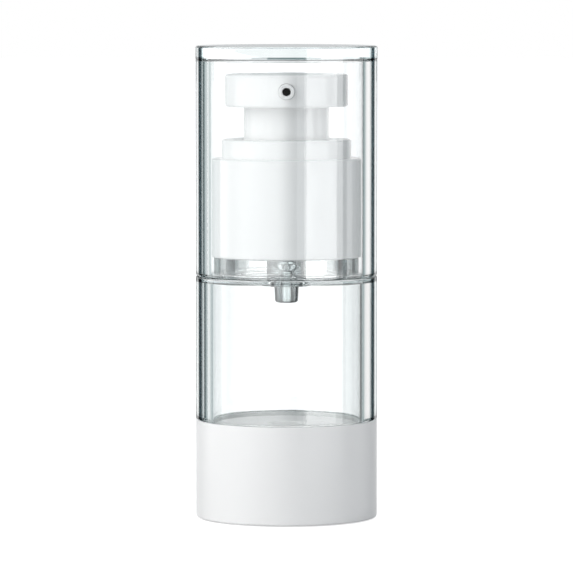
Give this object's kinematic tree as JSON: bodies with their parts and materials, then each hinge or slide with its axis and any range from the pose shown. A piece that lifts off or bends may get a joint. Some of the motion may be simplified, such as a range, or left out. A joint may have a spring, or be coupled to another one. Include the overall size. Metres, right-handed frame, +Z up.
{
  "type": "airless pump bottle",
  "caption": "Small clear airless pump bottle on a white base, with a white push-button pump and a thick clear overcap.",
  "frame": {"origin": "Centre of the foot ring on the surface it stands on.", "axes": "+Z is up along the bottle's axis, -Y is the way the nozzle faces, +X is to the right seen from the front."},
  "size_m": [0.033, 0.033, 0.0858],
  "materials": {
    "clear_plastic": "clear moulded plastic, polished inside and out",
    "white_plastic": "white moulded plastic, satin gloss",
    "natural_plastic": "natural see-through plastic, as moulded",
    "inner_plastic": "off-white plastic, as moulded",
    "seal_plastic": "soft white plastic, smooth",
    "gasket_foam": "pale closed-cell foam",
    "spring_steel": "drawn stainless wire",
    "ball_steel": "polished ball"
  },
  "bodies": {
    "container": {"base_cup": "white_plastic", "bottle": "clear_plastic", "pump_cylinder": "natural_plastic", "ball_cage": "inner_plastic", "neck_gasket": "gasket_foam", "snap_closure": "natural_plastic", "collar": "white_plastic", "cylinder_cap": "inner_plastic", "return_spring": "spring_steel"},
    "cap": {"overcap": "clear_plastic"},
    "plunger": {"stem": "inner_plastic", "piston_rod": "inner_plastic"},
    "button": {"actuator_button": "white_plastic", "nozzle_insert": "white_plastic"},
    "seal": {"pump_piston": "seal_plastic"},
    "ball": {"inlet_ball": "ball_steel"},
    "follower": {"follower_piston": "seal_plastic"}
  },
  "joints": [
    {"name": "cap_lift", "type": "slide", "parent": "container", "child": "cap", "axis": [0, 0, 1], "range_m": [0, 0.045]},
    {"name": "press", "type": "slide", "parent": "container", "child": "plunger", "axis": [0, 0, -1], "range_m": [0, 0.0054], "stiffness_N_per_m": 660, "springref_m": -0.0056, "deforming": ["return_spring"]},
    {"name": "button_turn", "type": "hinge", "parent": "plunger", "child": "button", "pos_m": [0, 0, 0.0748], "axis": [0, 0, 1], "continuous": true},
    {"name": "seal_shift", "type": "slide", "parent": "plunger", "child": "seal", "axis": [0, 0, 1], "range_m": [0, 0.0008]},
    {"name": "ball_lift", "type": "slide", "parent": "container", "child": "ball", "axis": [0, 0, 1], "range_m": [0, 0.0008]},
    {"name": "follower_rise", "type": "slide", "parent": "container", "child": "follower", "axis": [0, 0, 1], "range_m": [0, 0.0256]}
  ]
}
